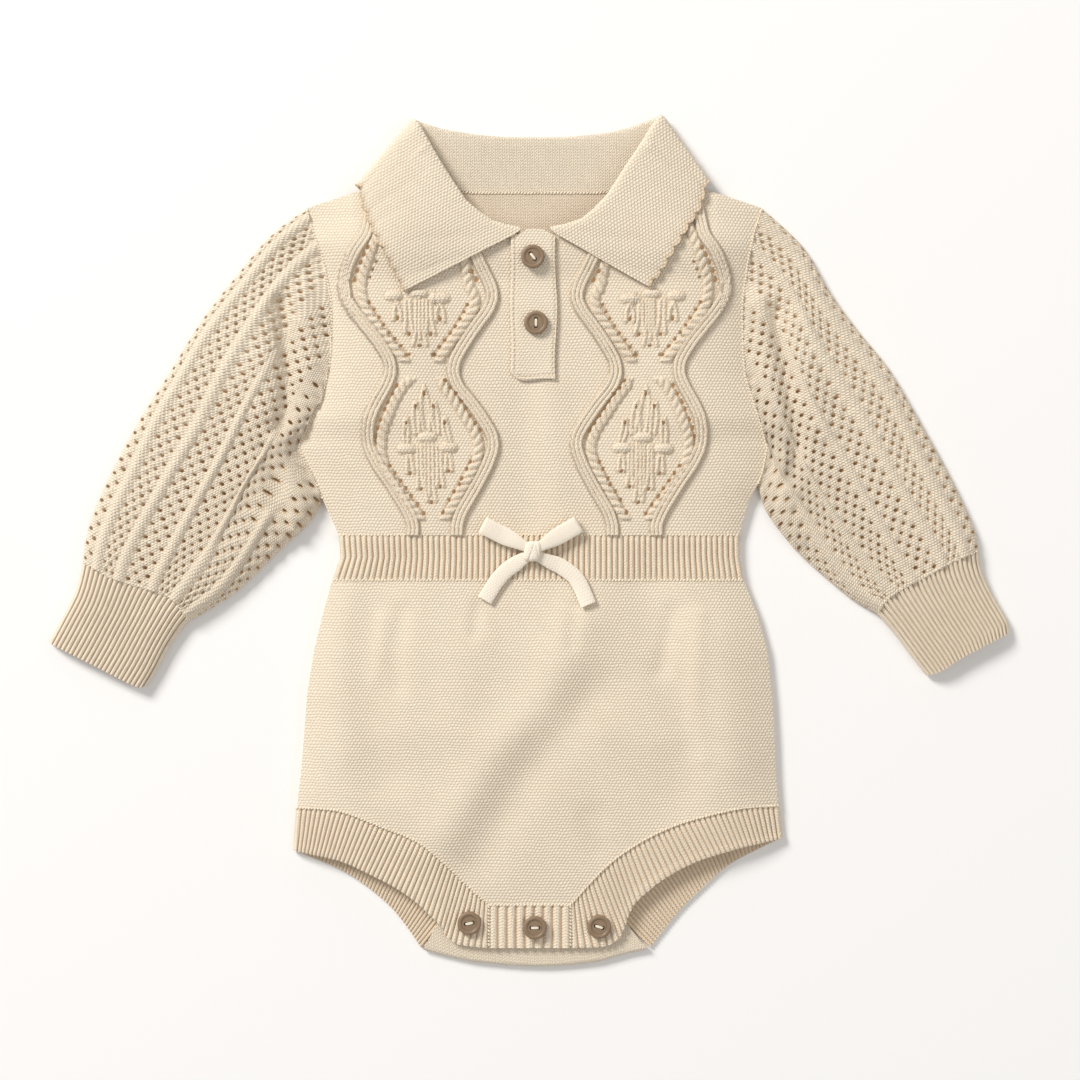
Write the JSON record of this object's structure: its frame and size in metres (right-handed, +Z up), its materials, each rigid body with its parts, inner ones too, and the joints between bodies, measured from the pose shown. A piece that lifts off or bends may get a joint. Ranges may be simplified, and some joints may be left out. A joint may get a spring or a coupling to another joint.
{
  "type": "baby romper",
  "caption": "Knitted baby romper lying flat, with openwork sleeves, cabled diamond front, turned-down collar, ribbed waist with a tied bow, and a buttoned crotch.",
  "frame": {"origin": "on the resting plane, under the middle of the waistband's back", "axes": "+X to the right as the front is seen (the wearer's left arm), +Y from the crotch to the collar, +Z up off the surface it lies on"},
  "size_m": [0.4602, 0.4075, 0.0165],
  "materials": {
    "cream_knit": "matte plain cotton knit, purl side out",
    "openwork_knit": "matte openwork cotton knit",
    "cream_rib": "matte ribbed cotton knit",
    "collar_knit": "matte fine cotton knit",
    "placket_knit": "matte firm cotton knit",
    "bow_tape": "matte flat woven tape",
    "neck_button": "satin, horn colour",
    "crotch_button": "satin, dark horn colour"
  },
  "bodies": {
    "root": {"bodice_front": "cream_knit", "bodice_back": "cream_knit", "sleeve_left": "openwork_knit", "sleeve_right": "openwork_knit", "cuff_left": "cream_rib", "cuff_right": "cream_rib", "collar": "collar_knit", "placket_top": "placket_knit", "placket_under": "placket_knit", "waist_rib_front": "cream_rib", "waist_rib_back": "cream_rib", "shorts_front": "cream_knit", "shorts_back": "cream_knit", "leg_rib_left": "cream_rib", "leg_rib_right": "cream_rib", "crotch_band": "cream_rib", "crotch_flap": "cream_knit", "button_neck_upper": "neck_button", "button_neck_lower": "neck_button", "button_crotch_left": "crotch_button", "button_crotch_middle": "crotch_button", "button_crotch_right": "crotch_button", "bow_knot": "bow_tape", "bow_loop_left": "bow_tape", "bow_loop_right": "bow_tape", "bow_tail_left": "bow_tape", "bow_tail_right": "bow_tape"}
  },
  "joints": []
}
